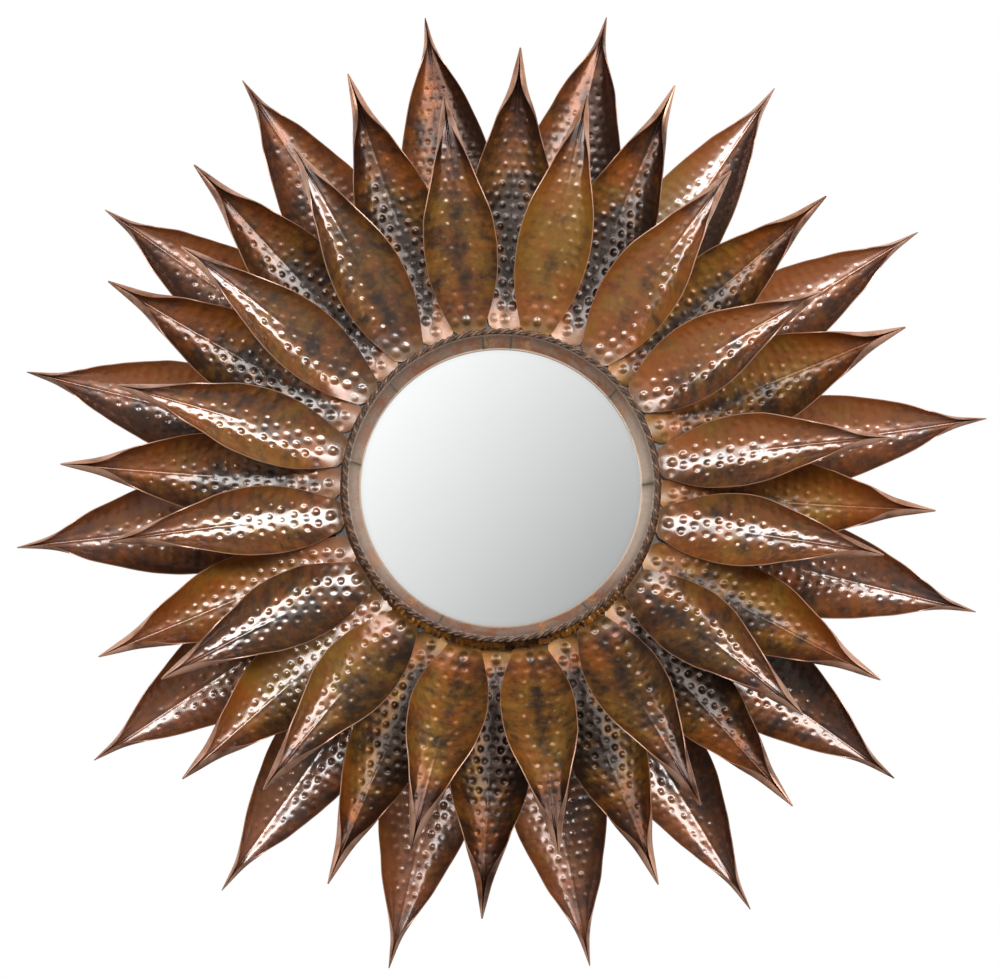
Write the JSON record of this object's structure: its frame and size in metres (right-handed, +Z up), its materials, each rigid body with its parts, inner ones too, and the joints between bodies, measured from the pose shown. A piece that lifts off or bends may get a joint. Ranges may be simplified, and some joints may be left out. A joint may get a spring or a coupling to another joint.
{
  "type": "round wall mirror",
  "caption": "Round wall mirror in a sloping copper bezel edged with twisted wire, ringed by three rows of pointed hammered copper leaves; hangs on a screw by a keyhole.",
  "frame": {"origin": "middle of the keyhole's entry on the rear face of the back plate", "axes": "+X right as the viewer sees it, +Z up, -Y out of the glass towards the viewer, +Y into the wall"},
  "size_m": [1.0079, 0.1439, 0.9994],
  "materials": {
    "front_leaf_copper": "hammered copper sheet under lacquer, heat coloured from olive gold to red brown",
    "middle_leaf_copper": "hammered copper sheet under lacquer, heat coloured brown with darker edges",
    "outer_leaf_copper": "hammered copper sheet under lacquer, heat coloured red brown to near black",
    "bezel_copper": "smooth copper band with solder marks and grey green patches",
    "dark_wire": "darkened copper wire, two strands twisted",
    "braze_metal": "rough golden braze metal",
    "carrier_steel": "plain steel sheet under clear lacquer",
    "back_paint": "matt dark brown paint",
    "silvered_glass": "plain silvered glass",
    "backing_board": "hardboard",
    "pad_felt": "dark felt"
  },
  "bodies": {
    "root": {"front_leaf_01": "front_leaf_copper", "front_leaf_02": "front_leaf_copper", "front_leaf_03": "front_leaf_copper", "front_leaf_04": "front_leaf_copper", "front_leaf_05": "front_leaf_copper", "front_leaf_06": "front_leaf_copper", "front_leaf_07": "front_leaf_copper", "front_leaf_08": "front_leaf_copper", "front_leaf_09": "front_leaf_copper", "front_leaf_10": "front_leaf_copper", "front_leaf_11": "front_leaf_copper", "front_leaf_12": "front_leaf_copper", "front_leaf_13": "front_leaf_copper", "front_leaf_14": "front_leaf_copper", "front_leaf_15": "front_leaf_copper", "front_leaf_16": "front_leaf_copper", "middle_leaf_01": "middle_leaf_copper", "middle_leaf_02": "middle_leaf_copper", "middle_leaf_03": "middle_leaf_copper", "middle_leaf_04": "middle_leaf_copper", "middle_leaf_05": "middle_leaf_copper", "middle_leaf_06": "middle_leaf_copper", "middle_leaf_07": "middle_leaf_copper", "middle_leaf_08": "middle_leaf_copper", "middle_leaf_09": "middle_leaf_copper", "middle_leaf_10": "middle_leaf_copper", "middle_leaf_11": "middle_leaf_copper", "middle_leaf_12": "middle_leaf_copper", "middle_leaf_13": "middle_leaf_copper", "middle_leaf_14": "middle_leaf_copper", "middle_leaf_15": "middle_leaf_copper", "middle_leaf_16": "middle_leaf_copper", "outer_leaf_01": "outer_leaf_copper", "outer_leaf_02": "outer_leaf_copper", "outer_leaf_03": "outer_leaf_copper", "outer_leaf_04": "outer_leaf_copper", "outer_leaf_05": "outer_leaf_copper", "outer_leaf_06": "outer_leaf_copper", "outer_leaf_07": "outer_leaf_copper", "outer_leaf_08": "outer_leaf_copper", "outer_leaf_09": "outer_leaf_copper", "outer_leaf_10": "outer_leaf_copper", "outer_leaf_11": "outer_leaf_copper", "outer_leaf_12": "outer_leaf_copper", "outer_leaf_13": "outer_leaf_copper", "outer_leaf_14": "outer_leaf_copper", "outer_leaf_15": "outer_leaf_copper", "outer_leaf_16": "outer_leaf_copper", "mirror_glass": "silvered_glass", "glass_backing": "backing_board", "bezel_cone": "bezel_copper", "bezel_hoop": "bezel_copper", "twisted_wire_ring": "dark_wire", "braze_fillet": "braze_metal", "leaf_disc": "carrier_steel", "outer_leaf_disc": "carrier_steel", "hub_drum": "carrier_steel", "back_plate": "back_paint", "wall_pads": "pad_felt"}
  },
  "joints": []
}
